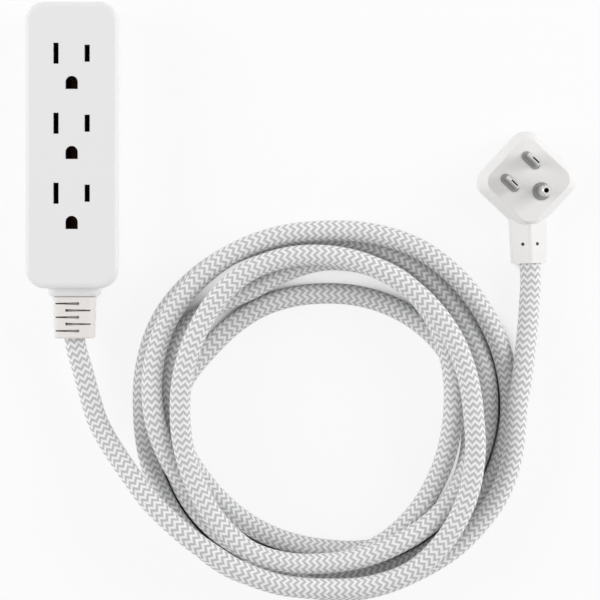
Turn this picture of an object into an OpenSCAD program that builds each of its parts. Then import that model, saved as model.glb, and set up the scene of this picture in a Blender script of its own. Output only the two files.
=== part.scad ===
/* [Strip] */
// Width of the outlet strip
strip_w = 38.4; // [36:0.2:46]
// Height of the outlet strip
strip_h = 27; // [26:0.5:32]
// Radius of the strip's upright corners
corner_r = 8.2; // [6.4:0.2:9]
// Radius of the strip's face and back edges
edge_r = 2.4; // [1:0.1:3]
// How far the sides are drawn in towards the back
draft = 1.8; // [0:0.1:2.2]
// Thickness of the shells' side walls
wall = 2; // [1.6:0.1:2.4]
// Thickness of the outlet face and of the back
face_t = 2.4; // [2:0.1:3]
// Height of the seam between the two shells, and of the cord's axis
split_h = 13; // [12:0.5:14]

/* [Neck and boot] */
// Width of the shells' neck round the boot
neck_w = 21; // [20:0.5:24]
// Height of the neck
neck_h = 19; // [17:0.5:20]
// Length of the neck past the shells' end
neck_l = 3.4; // [2:0.2:6]
// Diameter of the hole through the neck
neck_bore = 12.4; // [11.6:0.2:13]
// Width of the boot where it leaves the neck
boot_w = 17.2; // [16:0.2:19]
// Height of the boot where it leaves the neck
boot_h = 16.4; // [14:0.2:17]
// Length of the boot outside the neck
boot_l = 17.2; // [16:0.2:24]
// How much narrower the boot is at its far end
boot_taper = 1; // [0:0.1:2]
// Number of flex slots on the boot's top, and as many on its underside
boot_slots = 5; // [3:1:5]
// Distance from one flex slot to the next
slot_pitch = 2.8; // [2.4:0.1:3]
// Width of one flex slot
slot_t = 1.1; // [0.8:0.1:1.4]
// Diameter of the boot's flange inside the shells
flange_d = 16; // [15:0.2:17]
// Thickness of that flange
flange_t = 2.6; // [2:0.1:3.4]

/* [Outlets] */
// Number of outlets
outlets = 3; // [1:1:3]
// Distance from one outlet to the next
outlet_pitch = 28.5; // [27:0.1:30]
// Distance from the strip's upper end to the first pair of slots
outlet_start = 21.2; // [20:0.2:24]
// Distance from the last ground hole to the strip's cord end
outlet_end = 26.9; // [26:0.1:40]
// Distance between the two blade slots
blade_pitch = 12.7; // [12.5:0.1:13]
// Distance from the blade slots to the ground hole
ground_drop = 11.9; // [11.7:0.1:12.3]
// Width of a blade slot
blade_slot_w = 2.2; // [1.7:0.1:2.4]
// Length of the longer slot, for the neutral blade
neutral_slot_l = 8.6; // [8:0.1:9]
// Length of the shorter slot, for the hot blade
hot_slot_l = 7; // [6.8:0.1:7.4]
// Width of the ground hole
ground_hole_w = 5.1; // [5:0.1:5.6]
// Height of the ground hole from its flat side to its arch
ground_hole_h = 5.4; // [5.2:0.1:5.8]

/* [Contacts] */
// Thickness of the brass strips and spring leaves
brass_t = 0.6; // [0.4:0.1:0.8]
// Width of a brass strip
bus_w = 5; // [4:0.2:5.2]
// Height of the hot and neutral strips above the back
bus_z = 9; // [8:0.2:9.4]
// Height of the ground strip above the back
ground_bus_z = 5.4; // [4.6:0.2:5.6]
// Width of a blade contact's leaves
blade_leaf_l = 7; // [5:0.2:8]
// Width of the ground contact's leaves
pin_leaf_l = 4.6; // [4:0.2:5]
// Gap between the two leaves where a blade is gripped
blade_pinch = 1.2; // [0.8:0.1:1.4]
// Gap between the two leaves where the ground pin is gripped
pin_pinch = 4.4; // [4.3:0.1:4.6]
// Thickness of the contact housing's plate under the face
housing_t = 1; // [0.8:0.1:1.2]
// Thickness of the housing's walls round the contacts
well_t = 1.2; // [0.8:0.1:1.4]
// Diameter of an insulated conductor
wire_d = 2.8; // [2.2:0.1:2.9]

/* [Screws] */
// Diameter of a screw's shank
screw_d = 2.9; // [2.5:0.1:3.2]
// Diameter of a screw's head
screw_head_d = 5.2; // [4.6:0.1:5.4]
// Height of a screw's head
screw_head_h = 2; // [1.4:0.1:2.4]
// Length of a screw's shank under its head
screw_l = 16; // [12:0.5:17]
// Diameter of a screw boss
boss_d = 7; // [6.6:0.1:7.6]
// Depth of the hole that a screw's head sits in
head_sink = 4; // [3:0.2:5]

/* [Plug] */
// Side of the plug's square body at its widest
plug_side = 33.2; // [31:0.2:36]
// Corner radius of the plug's body
plug_corner_r = 7; // [5:0.2:8]
// Thickness of the plug's body
plug_h = 14.6; // [14.4:0.2:17]
// Side of the plug's face
plug_face = 26.8; // [25.4:0.2:28]
// Corner radius of the plug's face
plug_face_r = 5; // [3:0.2:6]
// Distance from the plug's centre to the end of its neck
plug_reach = 34.2; // [33:0.2:40]
// Width of the plug's neck where it leaves the body
plug_neck_w = 16; // [15:0.2:18]
// Width of the plug's neck at its end
plug_neck_end = 14.8; // [13.6:0.2:15.8]
// Height of the plug's neck at its ridge
plug_neck_h = 12.6; // [12.2:0.2:14]
// Height of the cord's axis in the plug's neck
tail_z = 6.4; // [6.2:0.1:6.8]
// Width of a blade
blade_w = 6.35; // [6.2:0.05:6.5]
// Thickness of a blade
blade_t = 1.5; // [1.4:0.05:1.65]
// Length of a blade past the plug's face
blade_l = 17.8; // [15.9:0.1:18.3]
// Diameter of the ground pin
pin_d = 4.75; // [4.6:0.05:4.8]
// Length of the ground pin past the plug's face
pin_l = 20.5; // [18.6:0.1:21.4]
// Distance from the face's centre to the line of the blades
blade_line = 5.3; // [5:0.1:5.7]
// How far the prongs sit to the right of the plug's centre
prong_shift = 0.4; // [0:0.1:0.8]
// Thickness of the grey collar round each prong
collar_t = 1.3; // [0.8:0.1:1.4]
// How far the grey collars stand past the face
collar_h = 0.4; // [0.2:0.1:0.8]

/* [Cord] */
// Diameter of the cord
cord_d = 8.5; // [7.5:0.1:8.8]

/* [Hidden] */
$fn = 48;

// Clearances: a sliding fit, a moulded-in seat, and the overlap of a cut past a face
fit = 0.2;
seat = 0.05;
past = 1;

shell_white = [0.91, 0.91, 0.92];
housing_dark = [0.20, 0.18, 0.16];
boot_white = [0.89, 0.88, 0.86];
brass = [0.80, 0.66, 0.36];
steel = [0.72, 0.73, 0.75];
nickel = [0.80, 0.80, 0.79];
braid_grey = [0.80, 0.80, 0.81];
bridge_grey = [0.52, 0.52, 0.52];
hot_black = [0.12, 0.12, 0.13];
neutral_white = [0.93, 0.93, 0.92];
ground_green = [0.15, 0.48, 0.24];

// Where the outlets' slots and ground holes lie
strip_l = outlet_start + (outlets - 1) * outlet_pitch + ground_drop + outlet_end;
blade_x = blade_pitch / 2;
function slot_y(k) = strip_l / 2 - outlet_start - k * outlet_pitch;
function ground_y(k) = slot_y(k) - ground_drop;

// Ends of the strip's pieces along the cord
cavity_in = wall + draft;
end_y = -strip_l / 2;
wall_y = end_y + cavity_in;
neck_y = end_y - neck_l;
boot_y = neck_y - boot_l;
cord_start_y = wall_y + flange_t + 1;

// Heights inside the shells
face_z = strip_h - face_t;
contact_top = face_z - 1;
housing_top = face_z - seat;
bus_top = bus_z + brass_t;
ground_top = ground_bus_z + brass_t;
well_low = bus_top + fit;

// Screws lie near the four corners, clear of the contacts
screw_x = strip_w / 2 - cavity_in - boss_d / 2 - 0.4;
upper_screw_y = strip_l / 2 - cavity_in - boss_d / 2 - 0.4;
lower_screw_y = wall_y + flange_t + boss_d / 2 + 1;
screw_spots = [for (sx = [-1, 1]) for (sy = [upper_screw_y, lower_screw_y]) [sx * screw_x, sy]];

// Room in each contact's well, across the strip and along it
blade_room = [5, neutral_slot_l + 0.6];
pin_room = [pin_pinch + 2.6, ground_hole_h + 0.6];

// Lugs that join the conductors to the brass strips
lug_l = 5;
lug_foot = 0.8;
lug_d = wire_d + 1.4;
last_well_y = ground_y(outlets - 1) - pin_room[1] / 2 - well_t;
lug_y = last_well_y - 2 * fit - lug_l / 2;
lug_rise = lug_foot + lug_d / 2;
bus_end_y = lug_y - lug_l / 2 - 0.6;

// The three conductors leave the cord in a triangle
trio_r = wire_d * 0.66;
hot_at = [trio_r * cos(30), trio_r * sin(30)];
neutral_at = [-hot_at[0], hot_at[1]];
ground_at = [0, -trio_r];
plug_hot_at = [-hot_at[0], -hot_at[1]];
plug_neutral_at = [0, trio_r];
plug_ground_at = [hot_at[0], -hot_at[1]];

// The plug lies on its back, turned a little, with its neck towards the cord
plug_at = [187.3, -14.2];
plug_turn = 2;
// Prongs are set out along a line turned by half a right angle
prong_turn = -45;
pin_line = ground_drop - blade_line;
function turned(p, a) = [p[0] * cos(a) - p[1] * sin(a), p[0] * sin(a) + p[1] * cos(a)];
prongs_at = [prong_shift, 0];
hot_spot = prongs_at + turned([-blade_line, -blade_pitch / 2], prong_turn);
neutral_spot = prongs_at + turned([-blade_line, blade_pitch / 2], prong_turn);
ground_spot = prongs_at + turned([pin_line, 0], prong_turn);
crimp_d = wire_d + 1;
crimp_l = 5;
crimp_z = crimp_d / 2 + 3.4;
bridge_low = crimp_z + crimp_d / 2 + 0.4;
bridge_top = plug_h - 1.6;
bridge_side = 22;
shank_d = pin_d - 0.35;
collar_top = plug_h + collar_h;

// The cord: points of its free stretches, and its turns as twelve stations a turn
boot_exit = [0, boot_y, split_h];
lead_points = [[0.8, -84, 13], [2.4, -89.5, 13], [4.5, -97, 13], [6.7, -105, 13], [9.3, -113, 13.5],
               [13.3, -120.5, 15], [18.7, -128.5, 17.5], [24.3, -136, 20.5], [30.9, -144.5, 23.5],
               [38.9, -152.3, 26], [47.8, -159.8, 28], [57.3, -166.4, 28.7]];
tail_points = [[176.5, -141, 13.5], [180, -130.5, 13.5], [181.6, -121, 13.5], [182.2, -113, 13.6],
               [183, -105, 13.8], [184.4, -97, 13.6], [185.6, -88.5, 12.4], [186.7, -80, 10.3],
               [187.8, -71, 8.1], [188.3, -64, 6.9]];
coil_centre = [103, -111];
coil_from = 240;
stations = 12;
rings_per_step = 2;
cord_sides = 8;
// Distance of each turn from the centre, one row a turn
turn_r = [[71, 69.7, 72.2, 67, 61, 61.5, 63.5, 66, 67, 62, 59, 59.5],
          [62.3, 59.8, 60, 63, 60.5, 57, 52.5, 50, 51.5, 55, 63.8, 66.3],
          [65.2, 61.5, 57.5, 53.5, 53, 58, 64, 63.8, 60, 67.2, 62.6, 57.3],
          [55.6, 56.5, 62, 65.2, 68.2, 70, 72, 73.5, 76.5, 78.2, 75.3, 75.5],
          [75, 69.5, 71.5, 74.5, 77.5, 78.4, 79, 76, 76.5, 75.4, 69.8, 63.4],
          [63.5, 72, 74.6, 78.6]];
// Height of each turn above the lowest ones, one row a turn
turn_lift = [[25.6, 22.5, 20.3, 20, 19, 18.5, 17.5, 15.5, 14, 17.5, 19, 20.4],
             [22.6, 19.5, 17.9, 11.5, 5.5, 0, 0, 0, 0, 0, 0, 0],
             [0, 9.8, 8.5, 8.5, 12, 9.5, 7.5, 6.2, 4.2, 3.6, 9.5, 3.6],
             [0, 0, 0, 0, 0, 0, 0, 0, 0, 0, 0, 0],
             [0, 0, 0, 0, 0, 4.5, 6.5, 9, 9, 10, 15.9, 11.4],
             [13.5, 12, 9.2, 9]];
floor_z = cord_d / 2 + 0.1;

// A smooth value between the stations of a list, at a place counted in stations
function eased(list, at) =
    let (last = len(list) - 1,
         i = min(floor(at), last - 1),
         t = at - i,
         a = list[max(i - 1, 0)],
         b = list[i],
         c = list[i + 1],
         d = list[min(i + 2, last)])
    (2 * b + (c - a) * t + (2 * a - 5 * b + 4 * c - d) * t * t + (3 * b - a - 3 * c + d) * t * t * t) / 2;

radii = [for (row = turn_r) for (r = row) r];
lifts = [for (row = turn_lift) for (h = row) h];
coil_rings = (len(radii) - 1) * rings_per_step;

function coil_point(at) =
    let (angle = coil_from + at * 360 / stations,
         r = eased(radii, at))
    [coil_centre[0] + r * cos(angle), coil_centre[1] + r * sin(angle), floor_z + max(0, eased(lifts, at))];

coil_points = [for (i = [0:coil_rings]) coil_point(i / rings_per_step)];

plug_axis = [-sin(plug_turn), cos(plug_turn), 0];
plug_entry = [plug_at[0] + plug_reach * sin(plug_turn), plug_at[1] - plug_reach * cos(plug_turn), tail_z];

route = concat([[0, cord_start_y, split_h], boot_exit], lead_points, coil_points, tail_points,
               [plug_entry - cord_d * plug_axis, plug_entry]);
coil_first = len(lead_points) + 2;
coil_last = coil_first + coil_rings;

function unit(v) = v / norm(v);
function heading(i) =
    i == 0 || i == coil_first ? unit(route[i + 1] - route[i])
    : i == len(route) - 1 || i == coil_last ? unit(route[i] - route[i - 1])
    : unit(route[i + 1] - route[i - 1]);

// One ring of a round outline, square to a heading
function ring(p, along, d, sides) =
    let (side = unit(cross(along, [0, 0, 1])),
         up = cross(side, along))
    [for (k = [0:sides - 1])
        let (a = k * 360 / sides)
        p + d / 2 * (cos(a) * side + sin(a) * up)];

function cord_rings(first, last) = [for (i = [first:last]) ring(route[i], heading(i), cord_d, cord_sides)];

// Rings of a conductor, square to its ends and mitred at its bends
function wire_rings(path, d) =
    let (last = len(path) - 1)
    [for (i = [0:last])
        let (into = unit(path[max(i, 1)] - path[max(i, 1) - 1]),
             away = unit(path[min(i, last - 1) + 1] - path[min(i, last - 1)]))
        ring(path[i], unit(into + away), d, 12)];

// Distance from a point to a straight piece of the route
function to_piece(p, a, b) =
    let (t = max(0, min(1, (p - a) * (b - a) / ((b - a) * (b - a)))))
    norm(p - a - t * (b - a));

// Least gap between the coil's turns, measured from each ring to every piece half a turn or more away
function least_gap() =
    let (half = stations * rings_per_step / 2)
    min([for (i = [0:coil_rings]) for (j = [0:coil_rings - 1])
        if (abs(i - j) > half) to_piece(coil_points[i], coil_points[j], coil_points[j + 1])]) - cord_d;

module rounded_rect(w, l, r) {
    square([w - 2 * r, l], center = true);
    square([w, l - 2 * r], center = true);
    for (sx = [-1, 1], sy = [-1, 1]) translate([sx * (w / 2 - r), sy * (l / 2 - r)]) circle(r);
}

module at_corners(w, l, r) {
    for (sx = [-1, 1], sy = [-1, 1]) translate([sx * (w / 2 - r), sy * (l / 2 - r), 0]) children();
}

module rolled_edge(r, edge, z) {
    translate([0, 0, z]) rotate_extrude($fn = 32) translate([r - edge, 0]) circle(edge, $fn = 24);
}

// A bar along Y with its ends at two heights of Y
module bar_y(y0, y1) {
    translate([0, y1, 0]) rotate([90, 0, 0]) linear_extrude(y1 - y0) children();
}

// The strip is widest just under its face, and drawn in from there to its back
seam_in = draft * (1 - split_h / (strip_h - edge_r));

module seam_corners(z) {
    at_corners(strip_w - 2 * seam_in, strip_l - 2 * seam_in, corner_r)
        translate([0, 0, z]) cylinder(r = corner_r, h = 0.4, $fn = 32);
}

module top_form() {
    hull() {
        seam_corners(split_h);
        at_corners(strip_w, strip_l, corner_r) rolled_edge(corner_r, edge_r, strip_h - edge_r);
    }
}

module bottom_form() {
    hull() {
        seam_corners(split_h - 0.4);
        at_corners(strip_w - 2 * draft, strip_l - 2 * draft, corner_r) rolled_edge(corner_r, edge_r, edge_r);
    }
}

module cavity(z0, z1) {
    translate([0, 0, z0]) linear_extrude(z1 - z0)
        rounded_rect(strip_w - 2 * cavity_in, strip_l - 2 * cavity_in, corner_r - cavity_in);
}

// The neck's outer edge is rounded off
module neck_form() {
    edge = 1.3;
    hull() translate([0, 0, split_h]) {
        bar_y(neck_y + edge, end_y + cavity_in / 2) rounded_rect(neck_w, neck_h, 3.6, $fn = 32);
        bar_y(neck_y + 0.4, neck_y + edge) rounded_rect(neck_w - edge, neck_h - edge, 3.2, $fn = 32);
        bar_y(neck_y, neck_y + edge) rounded_rect(neck_w - 2 * edge, neck_h - 2 * edge, 2.4, $fn = 32);
    }
}

module neck_hole() {
    bar_y(neck_y - past, wall_y + past) translate([0, split_h]) circle(d = neck_bore);
}

module half_space(z0, z1) {
    translate([-strip_w, -strip_l, z0]) cube([2 * strip_w, 2 * strip_l, z1 - z0]);
}

module blade_slot(x, y, l) {
    translate([x - blade_slot_w / 2, y - l / 2, face_z - past]) cube([blade_slot_w, l, face_t + 2 * past]);
}

// Flat at the bottom, arched at the top
module ground_hole(y) {
    r = ground_hole_w / 2;
    low = -ground_hole_h / 2;
    translate([0, y, face_z - past]) linear_extrude(face_t + 2 * past) {
        translate([-r, low]) square([ground_hole_w, ground_hole_h - r]);
        translate([0, low + ground_hole_h - r]) circle(r);
    }
}

// Each contact stands in a square well, and is put there with its outlet's two others
module at_contacts(k) {
    for (sx = [-1, 1]) translate([sx * blade_x, slot_y(k), 0]) children(0);
    translate([0, ground_y(k), 0]) children(1);
}

module blade_well(grow) {
    square([blade_room[0] + 2 * grow, blade_room[1] + 2 * grow], center = true);
}

module pin_well(grow) {
    square([pin_room[0] + 2 * grow, pin_room[1] + 2 * grow], center = true);
}

// One insulating piece between the contacts and the face, held down on the brass strips
module contact_housing() color(housing_dark) {
    half_w = blade_x + blade_room[0] / 2 + well_t;
    first_well_y = slot_y(0) + blade_room[1] / 2 + well_t;
    difference() {
        union() {
            translate([-half_w, last_well_y, housing_top - housing_t])
                cube([2 * half_w, first_well_y - last_well_y, housing_t]);
            for (k = [0:outlets - 1])
                translate([0, 0, well_low]) linear_extrude(housing_top - well_low) at_contacts(k) {
                    blade_well(well_t);
                    pin_well(well_t);
                }
        }
        for (k = [0:outlets - 1])
            translate([0, 0, well_low - past]) linear_extrude(strip_h) at_contacts(k) {
                blade_well(0);
                pin_well(0);
            }
    }
}

module top_shell() color(shell_white) difference() {
    union() {
        difference() {
            top_form();
            cavity(split_h - past, face_z);
        }
        for (s = screw_spots)
            translate([s[0], s[1], split_h]) cylinder(d = boss_d, h = face_z - split_h + face_t / 4);
        intersection() {
            neck_form();
            half_space(split_h, strip_h);
        }
    }
    for (k = [0:outlets - 1]) {
        blade_slot(-blade_x, slot_y(k), neutral_slot_l);
        blade_slot(blade_x, slot_y(k), hot_slot_l);
        ground_hole(ground_y(k));
    }
    for (s = screw_spots) translate([s[0], s[1], split_h - past])
        cylinder(d = screw_d + 2 * seat, h = face_z - split_h);
    neck_hole();
}

module bottom_shell() color(shell_white) difference() {
    rail_t = 1.6;
    rail_y0 = bus_end_y + 1;
    rail_y1 = slot_y(0) + blade_leaf_l / 2;
    union() {
        difference() {
            bottom_form();
            cavity(face_t, split_h + past);
        }
        for (x = [-blade_x, 0, blade_x])
            translate([x - rail_t / 2, rail_y0, face_t / 2])
                cube([rail_t, rail_y1 - rail_y0, (x == 0 ? ground_bus_z : bus_z) - face_t / 2]);
        for (s = screw_spots)
            translate([s[0], s[1], face_t / 2]) cylinder(d = boss_d, h = split_h - face_t / 2);
        intersection() {
            neck_form();
            half_space(0, split_h);
        }
    }
    for (s = screw_spots) translate([s[0], s[1], -past]) {
        cylinder(d = screw_d + 2 * fit, h = split_h + 2 * past);
        cylinder(d = screw_head_d + 2 * fit, h = head_sink + past);
    }
    neck_hole();
}

module shell_screws() color(steel) for (s = screw_spots) translate([s[0], s[1], head_sink]) {
    cross_l = 3;
    cross_w = 0.6;
    cross_deep = 1;
    cylinder(d = screw_d, h = screw_l);
    difference() {
        translate([0, 0, -screw_head_h]) cylinder(d = screw_head_d, h = screw_head_h);
        for (a = [0, 90]) rotate(a) translate([-cross_l / 2, -cross_w / 2, -screw_head_h - past])
            cube([cross_l, cross_w, past + cross_deep]);
    }
}

// One spring leaf, bent in to its pinch and out again at its mouth
module leaf(pinch, root, h) {
    waist = 0.72 * h;
    flare = 0.5;
    polygon([[root, 0], [root + brass_t, 0], [pinch / 2 + brass_t, waist],
             [pinch / 2 + brass_t + flare, h], [pinch / 2 + flare, h], [pinch / 2, waist]]);
}

module contact(x, y, z, pinch, root, l) {
    translate([x, y + l / 2, z]) rotate([90, 0, 0]) linear_extrude(l) {
        leaf(pinch, root, contact_top - z);
        mirror([1, 0]) leaf(pinch, root, contact_top - z);
    }
}

module blade_bus(x) {
    y1 = slot_y(0) + blade_leaf_l / 2;
    leaf_root = 1.2;
    translate([x - bus_w / 2, bus_end_y, bus_z]) cube([bus_w, y1 - bus_end_y, brass_t]);
    for (k = [0:outlets - 1]) contact(x, slot_y(k), bus_top, blade_pinch, leaf_root, blade_leaf_l);
}

module hot_bus() color(brass) blade_bus(blade_x);

module neutral_bus() color(brass) blade_bus(-blade_x);

module ground_bus() color(brass) {
    y1 = ground_y(0) + pin_leaf_l / 2;
    w = pin_pinch + 2 * brass_t;
    translate([-w / 2, bus_end_y, ground_bus_z]) cube([w, y1 - bus_end_y, brass_t]);
    for (k = [0:outlets - 1]) contact(0, ground_y(k), ground_top, pin_pinch, pin_pinch / 2, pin_leaf_l);
}

// A tube through a list of rings, closed by flat ends
module tube(rings) {
    n = len(rings[0]);
    count = len(rings) - 1;
    walls = [for (i = [0:count - 1]) for (k = [0:n - 1])
        let (a = i * n + k, b = i * n + (k + 1) % n)
        each [[a, b, a + n], [b, b + n, a + n]]];
    ends = [for (k = [1:n - 2]) each [[0, k + 1, k], [count * n, count * n + k, count * n + k + 1]]];
    polyhedron([for (r = rings) each r], concat(walls, ends));
}

module strip_wire(at, x, z) {
    tube(wire_rings([[at[0], cord_start_y, split_h + at[1]], [at[0], cord_start_y + 2, split_h + at[1]],
                     [x, lug_y - lug_l / 2 - 1.5, z], [x, lug_y, z]], wire_d));
}

module hot_wire() color(hot_black) strip_wire(hot_at, blade_x, bus_top + lug_rise);

module neutral_wire() color(neutral_white) strip_wire(neutral_at, -blade_x, bus_top + lug_rise);

module ground_wire() color(ground_green) strip_wire(ground_at, 0, ground_top + lug_rise);

module wire_lugs() color(brass) for (p = [[-blade_x, bus_top], [0, ground_top], [blade_x, bus_top]]) {
    translate([p[0], 0, p[1]]) difference() {
        bar_y(lug_y - lug_l / 2, lug_y + lug_l / 2) {
            translate([0, lug_rise]) circle(d = lug_d);
            translate([-lug_d / 2, 0]) square([lug_d, lug_rise]);
        }
        bar_y(lug_y - lug_l / 2 - past, lug_y) translate([0, lug_rise]) circle(d = wire_d + 2 * seat);
    }
}

// Flex slots start near the left and the right side in turn, and stop at a sleeve round the cord
module flex_slot(i) {
    core = 3;
    nick = 0.45;
    side = i % 2 == 0 ? -1 : 1;
    inner = side < 0 ? 2 : -2.6;
    outer = side * (boot_w / 2 - 1.4);
    from_neck = 2.9 + i * slot_pitch;
    half_w = (boot_w - boot_taper * from_neck / boot_l) / 2;
    translate([0, neck_y - from_neck, 0]) {
        for (z = [-past, split_h + core]) translate([0, 0, z]) linear_extrude(split_h - core + past) {
            translate([inner, 0]) circle(d = slot_t + 0.2, $fn = 24);
            polygon([[inner, -slot_t / 2], [outer, -slot_t / 4], [outer, slot_t / 4], [inner, slot_t / 2]]);
        }
        translate([side * (half_w + past - nick) - past, -slot_t / 2, 0]) cube([2 * past, slot_t, strip_h]);
    }
}

module cord_boot() color(boot_white) difference() {
    joint = 0.25;
    union() {
        difference() {
            hull() translate([0, 0, split_h]) {
                bar_y(neck_y - joint - 0.5, neck_y - joint) rounded_rect(boot_w, boot_h, 3, $fn = 32);
                bar_y(boot_y + 0.6, boot_y + 1)
                    rounded_rect(boot_w - boot_taper, boot_h - boot_taper, 3, $fn = 32);
                bar_y(boot_y, boot_y + 0.6)
                    rounded_rect(boot_w - boot_taper - 1, boot_h - boot_taper - 1, 2.5, $fn = 32);
            }
            for (i = [0:boot_slots - 1]) flex_slot(i);
        }
        translate([0, 0, split_h]) {
            bar_y(boot_y + 0.6, neck_y - joint) circle(d = cord_d + 1.6);
            bar_y(neck_y - joint - 0.5, wall_y) circle(d = neck_bore - 2 * fit);
            bar_y(wall_y, wall_y + flange_t) circle(d = flange_d);
        }
    }
    translate([0, 0, split_h]) bar_y(boot_y - past, wall_y + flange_t + past) circle(d = cord_d + 2 * fit);
}

module cord_lead() color(braid_grey) tube(cord_rings(0, coil_first));

module cord_coil() {
    echo(least_gap_between_turns = least_gap());
    color(braid_grey) tube(cord_rings(coil_first, coil_last));
}

module cord_tail() color(braid_grey) tube(cord_rings(coil_last, len(route) - 1));

module at_plug() {
    translate([plug_at[0], plug_at[1], 0]) rotate(plug_turn) children();
}

module plug_form() {
    hull() {
        rotate(45) at_corners(plug_side - 2, plug_side - 2, plug_corner_r)
            cylinder(r = plug_corner_r, h = 1, $fn = 32);
        rotate(45) at_corners(plug_side, plug_side, plug_corner_r)
            translate([0, 0, 1.2]) cylinder(r = plug_corner_r, h = 6, $fn = 32);
        rotate(45) at_corners(plug_face + 0.8, plug_face + 0.8, plug_face_r + 0.4)
            translate([0, 0, plug_h - 1]) cylinder(r = plug_face_r + 0.4, h = 0.5, $fn = 32);
        rotate(45) at_corners(plug_face, plug_face, plug_face_r)
            translate([0, 0, plug_h - 1]) cylinder(r = plug_face_r, h = 1, $fn = 32);
    }
}

// A neck with a rounded roof, drawn in towards the cord
module plug_neck_form() {
    ridge_r = 2;
    eave_r = 2.4;
    foot_r = 1.2;
    hull() for (s = [[-plug_side / 4, plug_neck_w], [-plug_reach, plug_neck_end]])
        bar_y(s[0], s[0] + 0.6) {
            translate([0, plug_neck_h - ridge_r]) circle(ridge_r, $fn = 24);
            for (sx = [-1, 1]) {
                translate([sx * (s[1] / 2 - eave_r), 6.4]) circle(eave_r, $fn = 24);
                translate([sx * (s[1] / 2 - foot_r), foot_r]) circle(foot_r, $fn = 24);
            }
        }
}

// The grey bridge under the face, with a collar round each prong
module bridge_form(grow) {
    translate([0, 0, bridge_low - grow]) linear_extrude(bridge_top - bridge_low + 2 * grow)
        rotate(45) rounded_rect(bridge_side + 2 * grow, bridge_side + 2 * grow, 3);
    translate([0, 0, bridge_low]) linear_extrude(plug_h - bridge_low + collar_h) {
        for (p = [hot_spot, neutral_spot]) translate(p) rotate(prong_turn)
            rounded_rect(blade_w + 2 * collar_t + 2 * grow, blade_t + 2 * collar_t + 2 * grow,
                         blade_t / 2 + collar_t + grow - 0.01);
        translate(ground_spot) circle(pin_d / 2 + collar_t + grow);
    }
}

// Crimped tail of a prong, pointing at the neck
module crimp(spot, grow) {
    translate([spot[0], 0, crimp_z])
        bar_y(spot[1] - crimp_l - grow, spot[1]) circle(d = crimp_d + 2 * grow, $fn = 32);
}

module plug_wire(at, spot, grow) {
    end = spot[1] - crimp_l;
    start = -plug_reach - (grow > 0 ? past : 0);
    tube(wire_rings([[at[0], start, tail_z + at[1]], [at[0], -plug_reach + 3, tail_z + at[1]],
                     [spot[0], end - 2.5, crimp_z], [spot[0], end, crimp_z]], wire_d + 2 * grow));
}

// The neck has two dimples in its roof, near its end
module plug_body() at_plug() color(shell_white) difference() {
    dimple_d = 1.4;
    dimple_x = 3;
    dimple_in = 8;
    dimple_z = plug_neck_h - 5.4;
    union() {
        plug_form();
        plug_neck_form();
    }
    bridge_form(seat);
    for (s = [hot_spot, neutral_spot, ground_spot]) crimp(s, seat);
    for (s = [hot_spot, neutral_spot]) translate([s[0], s[1], crimp_z]) rotate(prong_turn)
        translate([-blade_w / 2 - seat, -blade_t / 2 - seat, -seat])
            cube([blade_w + 2 * seat, blade_t + 2 * seat, bridge_low - crimp_z + 1]);
    translate([ground_spot[0], ground_spot[1], crimp_z])
        cylinder(d = shank_d + 2 * seat, h = bridge_low - crimp_z + 1);
    plug_wire(plug_hot_at, hot_spot, seat);
    plug_wire(plug_neutral_at, neutral_spot, seat);
    plug_wire(plug_ground_at, ground_spot, seat);
    for (sx = [-1, 1])
        translate([sx * dimple_x, -plug_reach + dimple_in, dimple_z]) cylinder(d = dimple_d, h = plug_neck_h);
}

module plug_bridge() at_plug() color(bridge_grey) difference() {
    bridge_form(0);
    for (s = [hot_spot, neutral_spot]) translate([s[0], s[1], 0]) rotate(prong_turn)
        translate([-blade_w / 2 - seat, -blade_t / 2 - seat, 0])
            cube([blade_w + 2 * seat, blade_t + 2 * seat, collar_top + past]);
    translate(ground_spot) cylinder(d = shank_d + 2 * seat, h = collar_top + past);
}

// Outline of a blade from one side, drawn in at its tip
module tipped(w, top, drawn_in) {
    tip = 2;
    half = w / 2;
    polygon([[-half, 0], [half, 0], [half, top - tip], [half - drawn_in, top],
             [drawn_in - half, top], [-half, top - tip]]);
}

// A folded blade with a narrowed tip and the hollow of its fold
module blade(spot) {
    top = plug_h + blade_l;
    fold_x = -1.1;
    fold_l = 3.4;
    fold_w = 0.6;
    fold_deep = 2.5;
    crimp(spot, 0);
    translate([spot[0], spot[1], 0]) rotate(prong_turn) difference() {
        intersection() {
            translate([-blade_w / 2, -blade_t / 2, crimp_z]) cube([blade_w, blade_t, top - crimp_z]);
            rotate([90, 0, 0]) translate([0, 0, -blade_t]) linear_extrude(2 * blade_t)
                tipped(blade_w, top, 0.9);
            rotate([90, 0, 90]) translate([0, 0, -blade_w]) linear_extrude(2 * blade_w)
                tipped(blade_t, top, 0.2);
        }
        translate([fold_x, -fold_w / 2, top - fold_deep]) cube([fold_l, fold_w, fold_deep + past]);
    }
}

module hot_blade() at_plug() color(nickel) blade(hot_spot);

module neutral_blade() at_plug() color(nickel) blade(neutral_spot);

// A round pin on a narrower shank, with a domed, hollow tip
module ground_pin() at_plug() color(nickel) {
    top = plug_h + pin_l;
    r = pin_d / 2;
    tip_cut = 0.4;
    bore_d = 2;
    bore_deep = 12;
    crimp(ground_spot, 0);
    translate([ground_spot[0], ground_spot[1], crimp_z]) difference() {
        union() {
            cylinder(d = shank_d, h = collar_top - crimp_z + 1);
            translate([0, 0, collar_top - crimp_z]) cylinder(r = r, h = top - r - collar_top);
            translate([0, 0, top - r - crimp_z]) intersection() {
                sphere(r);
                cylinder(r = r, h = r - tip_cut);
            }
        }
        translate([0, 0, top - crimp_z - bore_deep]) cylinder(d = bore_d, h = bore_deep + past);
    }
}

module plug_hot_wire() at_plug() color(hot_black) plug_wire(plug_hot_at, hot_spot, 0);

module plug_neutral_wire() at_plug() color(neutral_white) plug_wire(plug_neutral_at, neutral_spot, 0);

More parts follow.
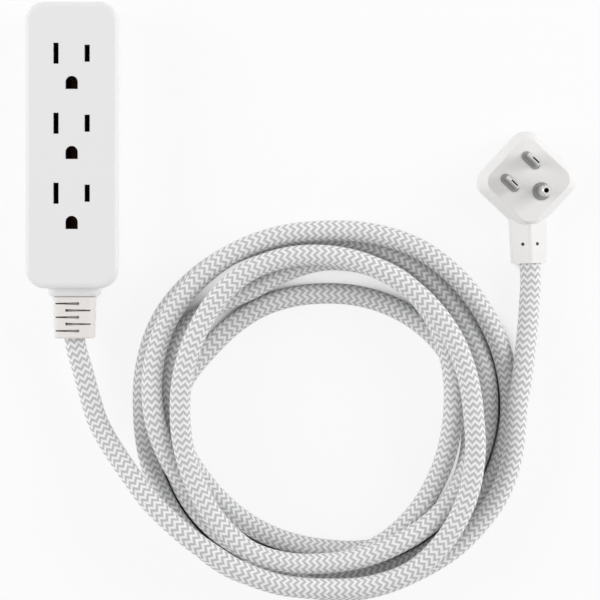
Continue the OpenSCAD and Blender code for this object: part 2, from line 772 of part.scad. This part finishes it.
module plug_ground_wire() at_plug() color(ground_green) plug_wire(plug_ground_at, ground_spot, 0);

top_shell();
bottom_shell();
shell_screws();
contact_housing();
hot_bus();
neutral_bus();
ground_bus();
hot_wire();
neutral_wire();
ground_wire();
wire_lugs();
cord_boot();
cord_lead();
cord_coil();
cord_tail();
plug_body();
plug_bridge();
hot_blade();
neutral_blade();
ground_pin();
plug_hot_wire();
plug_neutral_wire();
plug_ground_wire();
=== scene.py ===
"""Looks of a coiled extension cord: an outlet strip, a chevron-braided cord and a diamond-shaped plug."""

import math

import bpy
import numpy as np
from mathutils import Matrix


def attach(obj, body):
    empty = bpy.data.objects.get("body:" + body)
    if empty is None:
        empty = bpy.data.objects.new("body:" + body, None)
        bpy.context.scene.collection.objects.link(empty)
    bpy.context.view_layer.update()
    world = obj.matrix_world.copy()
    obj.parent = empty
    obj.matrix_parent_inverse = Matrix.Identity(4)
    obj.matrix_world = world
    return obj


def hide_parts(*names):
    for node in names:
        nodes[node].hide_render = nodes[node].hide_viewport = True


MM = 0.001

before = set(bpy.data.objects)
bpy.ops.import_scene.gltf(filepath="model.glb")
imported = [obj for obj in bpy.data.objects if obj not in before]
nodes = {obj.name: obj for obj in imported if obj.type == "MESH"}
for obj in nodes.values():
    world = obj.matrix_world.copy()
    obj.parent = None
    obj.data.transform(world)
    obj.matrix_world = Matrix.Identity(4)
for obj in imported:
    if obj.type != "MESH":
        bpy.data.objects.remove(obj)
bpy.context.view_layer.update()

# The photograph looks straight down. Its principal point lies above the picture's middle.
CAMERA_PLACE = (0.093, -0.03875, 1.0)
CAMERA_LENS = 143.46
CAMERA_SENSOR = 36
CAMERA_SHIFT_Y = -0.1
CAMERA_REACH = 20

CORD_D = 8.5 * MM

# Route of the cord, in millimetres, as in the part's source
LEAD = [[0, -51.1, 13], [0, -79.1, 13],
        [0.8, -84, 13], [2.4, -89.5, 13], [4.5, -97, 13], [6.7, -105, 13], [9.3, -113, 13.5],
        [13.3, -120.5, 15], [18.7, -128.5, 17.5], [24.3, -136, 20.5], [30.9, -144.5, 23.5],
        [38.9, -152.3, 26], [47.8, -159.8, 28], [57.3, -166.4, 28.7]]
TAIL = [[176.5, -141, 13.5], [180, -130.5, 13.5], [181.6, -121, 13.5], [182.2, -113, 13.6],
        [183, -105, 13.8], [184.4, -97, 13.6], [185.6, -88.5, 12.4], [186.7, -80, 10.3],
        [187.8, -71, 8.1], [188.3, -64, 6.9]]
COIL_CENTRE = [103, -111]
COIL_FROM = 240
STATIONS = 12
POINTS_PER_STATION = 2
# Distance of each turn from the coil's centre, and its height above the lowest turns, one row a turn
TURN_R = [[71, 69.7, 72.2, 67, 61, 61.5, 63.5, 66, 67, 62, 59, 59.5],
          [62.3, 59.8, 60, 63, 60.5, 57, 52.5, 50, 51.5, 55, 63.8, 66.3],
          [65.2, 61.5, 57.5, 53.5, 53, 58, 64, 63.8, 60, 67.2, 62.6, 57.3],
          [55.6, 56.5, 62, 65.2, 68.2, 70, 72, 73.5, 76.5, 78.2, 75.3, 75.5],
          [75, 69.5, 71.5, 74.5, 77.5, 78.4, 79, 76, 76.5, 75.4, 69.8, 63.4],
          [63.5, 72, 74.6, 78.6]]
TURN_LIFT = [[25.6, 22.5, 20.3, 20, 19, 18.5, 17.5, 15.5, 14, 17.5, 19, 20.4],
             [22.6, 19.5, 17.9, 11.5, 5.5, 0, 0, 0, 0, 0, 0, 0],
             [0, 9.8, 8.5, 8.5, 12, 9.5, 7.5, 6.2, 4.2, 3.6, 9.5, 3.6],
             [0, 0, 0, 0, 0, 0, 0, 0, 0, 0, 0, 0],
             [0, 0, 0, 0, 0, 4.5, 6.5, 9, 9, 10, 15.9, 11.4],
             [13.5, 12, 9.2, 9]]
LOWEST_AXIS = 4.35
PLUG_AT = [187.3, -14.2]
PLUG_TURN = math.radians(2)
PLUG_REACH = 34.2
TAIL_Z = 6.4

# The cord's tube: sides round it, the step from ring to ring, and fine steps between two points of the route
TUBE_SIDES = 24
RING_STEP = 1.5 * MM
FINE_STEPS = 24

# The light: a white room, and two lamps with their place and size in metres and their power in watts
ROOM_SIDES = 1.1
ROOM_TOP = 0.26
LAMPS = (("key", (1.5, 0.35, 0.85), 1.0, 13), ("fill", (-1.35, 0.15, 0.85), 1.0, 11))
LAMPS_AIM = (0.09, -0.08, 0)

# Colours are as a picture shows them, from 0 to 255. A shade is the range of openness over which painted
# shade goes from dark to plain.
OPENNESS_SAMPLES = 16

# The floor: evenly white where it is open, with painted shade in the gaps between turns, where its colour
# goes dark and its glow fades
FLOOR_REACH = 6
FLOOR_LOW = -0.2 * MM
FLOOR_COLOUR = (245, 245, 245)
FLOOR_GLOW = 0.84
GAP_PAINTED_SHADE_COLOUR = (60, 60, 60)
GAP_REACH = 15 * MM
GAP_SHADE = (0.12, 0.42)

# The braid: rows of chevrons along the cord, zigzags round it, and the relief of its yarns
BRAID_PITCH = 2.85 * MM
BRAID_ZIGZAGS = 8
BRAID_DEPTH = 0.62
BRAID_WHITE = (247, 247, 247)
BRAID_GREY = (192, 192, 193)
BRAID_EDGE = (0.15, 0.85)
BRAID_RELIEF = 0.25 * MM
BRAID_RELIEF_STRENGTH = 0.6
BRAID_ROUGHNESS = 0.85
BRAID_SPECULAR = 0.2

# The prongs: bright metal, with painted shade that makes it dark inside their hollows
PRONGS = ("hot_blade", "neutral_blade", "ground_pin")
PRONG_COLOUR = (216, 215, 212)
PRONG_ROUGHNESS = 0.15
HOLLOW_PAINTED_SHADE_COLOUR = (20, 20, 21)
HOLLOW_REACH = 6 * MM
HOLLOW_SHADE = (0.3, 0.8)

# Plain materials: name, colour, roughness, metallic, and the nodes that have it
PLAIN = (("shell_plastic", (237, 237, 237), 0.4, 0, ("top_shell", "bottom_shell")),
         ("housing_plastic", (26, 20, 17), 0.6, 0, ("contact_housing",)),
         ("plug_plastic", (236, 235, 234), 0.4, 0, ("plug_body",)),
         ("boot_rubber", (236, 232, 229), 0.55, 0, ("cord_boot",)),
         ("bridge_plastic", (150, 150, 150), 0.5, 0, ("plug_bridge",)),
         ("contact_brass", (74, 52, 36), 0.45, 1, ("hot_bus", "neutral_bus", "ground_bus", "wire_lugs")),
         ("screw_steel", (190, 190, 192), 0.3, 1, ("shell_screws",)),
         ("black_cover", (32, 32, 34), 0.5, 0, ("hot_wire", "plug_hot_wire")),
         ("white_cover", (236, 236, 234), 0.5, 0, ("neutral_wire", "plug_neutral_wire")),
         ("green_cover", (40, 122, 62), 0.5, 0, ("ground_wire", "plug_ground_wire")))


def linear(colour):
    """A colour as a picture shows it, turned into the shader's own scale."""
    def one(value):
        value = value / 255
        return value / 12.92 if value <= 0.04045 else ((value + 0.055) / 1.055) ** 2.4
    return (*(one(value) for value in colour), 1)


class Nodes:
    """A node tree, with short ways to add and join its nodes."""

    def __init__(self, tree):
        self.tree = tree

    def add(self, kind, **settings):
        node = self.tree.nodes.new(kind)
        for key, value in settings.items():
            setattr(node, key, value)
        return node

    def feed(self, socket, value):
        """Sets a socket to a number or a colour, or joins another node's output to it."""
        if isinstance(value, (int, float, tuple)):
            socket.default_value = value
        else:
            self.tree.links.new(value, socket)

    def math(self, operation, a, b):
        node = self.add("ShaderNodeMath", operation=operation)
        self.feed(node.inputs[0], a)
        self.feed(node.inputs[1], b)
        return node.outputs[0]

    def smooth(self, value, low, high):
        node = self.add("ShaderNodeMapRange", interpolation_type="SMOOTHSTEP")
        self.feed(node.inputs["Value"], value)
        self.feed(node.inputs["From Min"], low)
        self.feed(node.inputs["From Max"], high)
        return node.outputs["Result"]

    def mix_colours(self, factor, a, b):
        node = self.add("ShaderNodeMix", data_type="RGBA")
        self.feed(node.inputs["Factor"], factor)
        self.feed(node.inputs[6], a)
        self.feed(node.inputs[7], b)
        return node.outputs[2]

    def openness(self, reach, shade, only_local=False):
        """How open a spot is to what lies within reach, from 0 in a narrow gap to 1 in the open."""
        node = self.add("ShaderNodeAmbientOcclusion", samples=OPENNESS_SAMPLES, only_local=only_local)
        self.feed(node.inputs["Distance"], reach)
        return self.smooth(node.outputs["AO"], *shade)

    def seen(self):
        """1 for what is seen directly, in a reflection or through glass, and 0 for what only gives light."""
        path = self.add("ShaderNodeLightPath")
        either = self.math("MAXIMUM", path.outputs["Is Camera Ray"], path.outputs["Is Glossy Ray"])
        return self.math("MAXIMUM", either, path.outputs["Is Transmission Ray"])


class Surface(Nodes):
    """A new material, with its node tree and its shader."""

    def __init__(self, name):
        self.material = bpy.data.materials.new(name)
        self.material.use_nodes = True
        super().__init__(self.material.node_tree)
        self.shader = self.tree.nodes["Principled BSDF"]

    def give(self, **values):
        """Feeds the shader's sockets, named in small letters with low lines for spaces."""
        sockets = {socket.name.lower().replace(" ", "_"): socket for socket in self.shader.inputs}
        for name, value in values.items():
            self.feed(sockets[name], value)

    def bump(self, height, distance, strength):
        node = self.add("ShaderNodeBump")
        self.feed(node.inputs["Strength"], strength)
        self.feed(node.inputs["Distance"], distance)
        self.feed(node.inputs["Height"], height)
        self.give(normal=node.outputs["Normal"])


def plain(name, colour, roughness, metallic):
    made = Surface(name)
    made.give(base_color=linear(colour), roughness=roughness, metallic=metallic)
    return made.material


def prong_metal():
    made = Surface("nickel")
    # Painted shade: the metal goes dark where it lies deep in a hollow of its own prong
    unshaded = made.openness(HOLLOW_REACH, HOLLOW_SHADE, only_local=True)
    colour = made.mix_colours(unshaded, linear(HOLLOW_PAINTED_SHADE_COLOUR), linear(PRONG_COLOUR))
    made.give(base_color=colour, roughness=PRONG_ROUGHNESS, metallic=1)
    return made.material


def braid():
    """White and grey yarns that run in chevrons, with a ridge along each row of yarn."""
    made = Surface("braid")
    uv = made.add("ShaderNodeUVMap", uv_map="along_round").outputs[0]
    parts = made.add("ShaderNodeSeparateXYZ")
    made.feed(parts.inputs[0], uv)
    along = made.math("DIVIDE", parts.outputs[0], BRAID_PITCH)
    zigzag = made.math("PINGPONG", made.math("MULTIPLY", parts.outputs[1], 2 * BRAID_ZIGZAGS), 1)
    phase = made.math("ADD", along, made.math("MULTIPLY", zigzag, BRAID_DEPTH))
    band = made.math("PINGPONG", made.math("MULTIPLY", phase, 2), 1)
    grey = made.smooth(band, *BRAID_EDGE)
    colour = made.mix_colours(grey, linear(BRAID_WHITE), linear(BRAID_GREY))
    made.give(base_color=colour, roughness=BRAID_ROUGHNESS, specular_ior_level=BRAID_SPECULAR)
    yarn = made.math("PINGPONG", made.math("MULTIPLY", phase, 4), 1)
    wale = made.math("PINGPONG", made.math("MULTIPLY", zigzag, 2), 1)
    height = made.math("ADD", made.math("MULTIPLY", yarn, 0.5), made.math("MULTIPLY", wale, 0.5))
    made.bump(height, BRAID_RELIEF, BRAID_RELIEF_STRENGTH)
    return made.material


def eased(values, at):
    """A smooth value between the stations of a list, at a place counted in stations."""
    last = len(values) - 1
    i = min(int(at), last - 1)
    t = at - i
    a, b, c, d = (values[min(max(k, 0), last)] for k in (i - 1, i, i + 1, i + 2))
    return (2 * b + (c - a) * t + (2 * a - 5 * b + 4 * c - d) * t * t + (3 * b - a - 3 * c + d) * t ** 3) / 2


def coil_points():
    radii = [r for row in TURN_R for r in row]
    lifts = [h for row in TURN_LIFT for h in row]
    points = []
    for k in range((len(radii) - 1) * POINTS_PER_STATION + 1):
        at = k / POINTS_PER_STATION
        angle = math.radians(COIL_FROM + at * 360 / STATIONS)
        r = eased(radii, at)
        points.append([COIL_CENTRE[0] + r * math.cos(angle), COIL_CENTRE[1] + r * math.sin(angle),
                       LOWEST_AXIS + max(0, eased(lifts, at))])
    return points


def between(a, b, start, end, t):
    """The point that divides a straight line from a to b as t divides the way from start to end."""
    return ((end - t) * a + (t - start) * b) / (end - start)


def through(points, step):
    """Points at even steps along a smooth curve through the given ones, and the way to each of them."""
    p = np.array([2 * points[0] - points[1], *points, 2 * points[-1] - points[-2]])
    gaps = np.sqrt(np.linalg.norm(np.diff(p, axis=0), axis=1))
    knot = np.concatenate([[0], np.cumsum(gaps)])
    fine = []
    for i in range(len(p) - 3):
        p0, p1, p2, p3 = p[i:i + 4]
        t0, t1, t2, t3 = knot[i:i + 4]
        for t in np.linspace(t1, t2, FINE_STEPS, endpoint=False):
            middle = between(p1, p2, t1, t2, t)
            first = between(between(p0, p1, t0, t1, t), middle, t0, t2, t)
            second = between(middle, between(p2, p3, t2, t3, t), t1, t3, t)
            fine.append(between(first, second, t1, t2, t))
    fine.append(p[-2])
    fine = np.array(fine)
    fine[:, 2] = np.maximum(fine[:, 2], LOWEST_AXIS * MM)
    run = np.concatenate([[0], np.cumsum(np.linalg.norm(np.diff(fine, axis=0), axis=1))])
    even = np.linspace(0, run[-1], int(round(run[-1] / step)) + 1)
    return np.stack([np.interp(even, run, fine[:, k]) for k in range(3)], axis=1), even


def cord_route():
    plug_axis = np.array([-math.sin(PLUG_TURN), math.cos(PLUG_TURN), 0])
    entry = np.array([PLUG_AT[0], PLUG_AT[1], TAIL_Z]) - PLUG_REACH * plug_axis
    last_run = CORD_D / MM
    points = LEAD + coil_points() + TAIL + [list(entry - last_run * plug_axis), list(entry)]
    return through(np.array(points, float) * MM, RING_STEP)


def cord_mesh(route, along):
    """A round tube along the route, whose map holds metres along it and turns round it."""
    heading = np.gradient(route, axis=0)
    heading /= np.linalg.norm(heading, axis=1, keepdims=True)
    side = np.cross(heading, [0, 0, 1])
    side /= np.linalg.norm(side, axis=1, keepdims=True)
    up = np.cross(side, heading)
    angle = np.arange(TUBE_SIDES) * 2 * math.pi / TUBE_SIDES
    sideways = np.cos(angle)[None, :, None] * side[:, None]
    upwards = np.sin(angle)[None, :, None] * up[:, None]
    rings = route[:, None] + CORD_D / 2 * (sideways + upwards)
    count = len(route)
    faces = []
    marks = []
    for i in range(count - 1):
        for k in range(TUBE_SIDES):
            corners = ((i, k), (i + 1, k), (i + 1, k + 1), (i, k + 1))
            faces.append(tuple(ring * TUBE_SIDES + edge % TUBE_SIDES for ring, edge in corners))
            for ring, edge in corners:
                marks.extend((along[ring], edge / TUBE_SIDES))
    for ring, order in ((0, 1), (count - 1, -1)):
        faces.append(tuple(ring * TUBE_SIDES + k for k in range(TUBE_SIDES)[::order]))
        marks.extend([along[ring], 0] * TUBE_SIDES)
    mesh = bpy.data.meshes.new("braided_cord")
    mesh.from_pydata(rings.reshape(-1, 3).tolist(), [], faces)
    layer = mesh.uv_layers.new(name="along_round")
    layer.data.foreach_set("uv", np.array(marks, np.float32))
    mesh.polygons.foreach_set("use_smooth", [len(f) == 4 for f in faces])
    mesh.update()
    return mesh


def add_object(name, data):
    made = bpy.data.objects.new(name, data)
    bpy.context.scene.collection.objects.link(made)
    return made


def make_camera():
    data = bpy.data.cameras.new("camera")
    data.lens = CAMERA_LENS
    data.sensor_width = CAMERA_SENSOR
    data.sensor_fit = "HORIZONTAL"
    data.shift_y = CAMERA_SHIFT_Y
    data.clip_end = CAMERA_REACH
    camera = add_object("camera", data)
    camera.location = CAMERA_PLACE
    bpy.context.scene.camera = camera


def make_cord():
    route, along = cord_route()
    cord = add_object("braided_cord", cord_mesh(route, along))
    cord.data.materials.append(braid())
    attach(cord, "root")
    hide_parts("cord_lead", "cord_coil", "cord_tail")


def dress(material, names):
    for name in names:
        slots = nodes[name].data.materials
        slots.clear()
        slots.append(material)


def dress_nodes():
    dress(prong_metal(), PRONGS)
    for name, colour, roughness, metallic, names in PLAIN:
        dress(plain(name, colour, roughness, metallic), names)


def make_floor():
    mesh = bpy.data.meshes.new("floor")
    corners = ((-1, -1), (1, -1), (1, 1), (-1, 1))
    mesh.from_pydata([(x * FLOOR_REACH, y * FLOOR_REACH, FLOOR_LOW) for x, y in corners], [], [(0, 1, 2, 3)])
    floor = add_object("floor", mesh)
    made = Surface("floor")
    # Painted shade: in narrow gaps between turns the floor's colour goes dark and its glow fades
    open_floor = made.openness(GAP_REACH, GAP_SHADE)
    colour = made.mix_colours(open_floor, linear(GAP_PAINTED_SHADE_COLOUR), linear(FLOOR_COLOUR))
    made.give(base_color=colour, roughness=1, specular_ior_level=0)
    glow = made.add("ShaderNodeEmission")
    share = made.math("MULTIPLY", made.math("MULTIPLY", made.seen(), open_floor), FLOOR_GLOW)
    blend = made.add("ShaderNodeMixShader")
    made.feed(blend.inputs[0], share)
    made.feed(blend.inputs[1], made.shader.outputs[0])
    made.feed(blend.inputs[2], glow.outputs[0])
    made.feed(made.tree.nodes["Material Output"].inputs["Surface"], blend.outputs[0])
    mesh.materials.append(made.material)


def make_world():
    """A white room that is brighter near the horizon than overhead, and plain white where it is seen."""
    world = bpy.data.worlds.new("studio")
    bpy.context.scene.world = world
    world.use_nodes = True
    made = Nodes(world.node_tree)
    direction = made.add("ShaderNodeSeparateXYZ")
    made.feed(direction.inputs[0], made.add("ShaderNodeTexCoord").outputs["Generated"])
    room = made.add("ShaderNodeMapRange")
    made.feed(room.inputs["Value"], direction.outputs[2])
    made.feed(room.inputs["To Min"], ROOM_SIDES)
    made.feed(room.inputs["To Max"], ROOM_TOP)
    strength = made.add("ShaderNodeMix")
    made.feed(strength.inputs[0], made.seen())
    made.feed(strength.inputs[2], room.outputs[0])
    made.feed(strength.inputs[3], 1)
    background = made.tree.nodes["Background"]
    made.feed(background.inputs["Color"], (1, 1, 1, 1))
    made.feed(background.inputs["Strength"], strength.outputs[0])


def make_lamps():
    for name, place, size, power in LAMPS:
        data = bpy.data.lights.new(name, "AREA")
        data.size = size
        data.energy = power
        lamp = add_object(name, data)
        lamp.location = place
        aim = np.array(LAMPS_AIM) - np.array(place)
        tilt = math.acos(-aim[2] / np.linalg.norm(aim))
        turn = math.atan2(aim[1], aim[0]) - math.pi / 2
        lamp.rotation_euler = (tilt, 0, turn)


make_camera()
make_cord()
dress_nodes()
make_floor()
make_world()
make_lamps()
bpy.context.scene.view_settings.view_transform = "Standard"
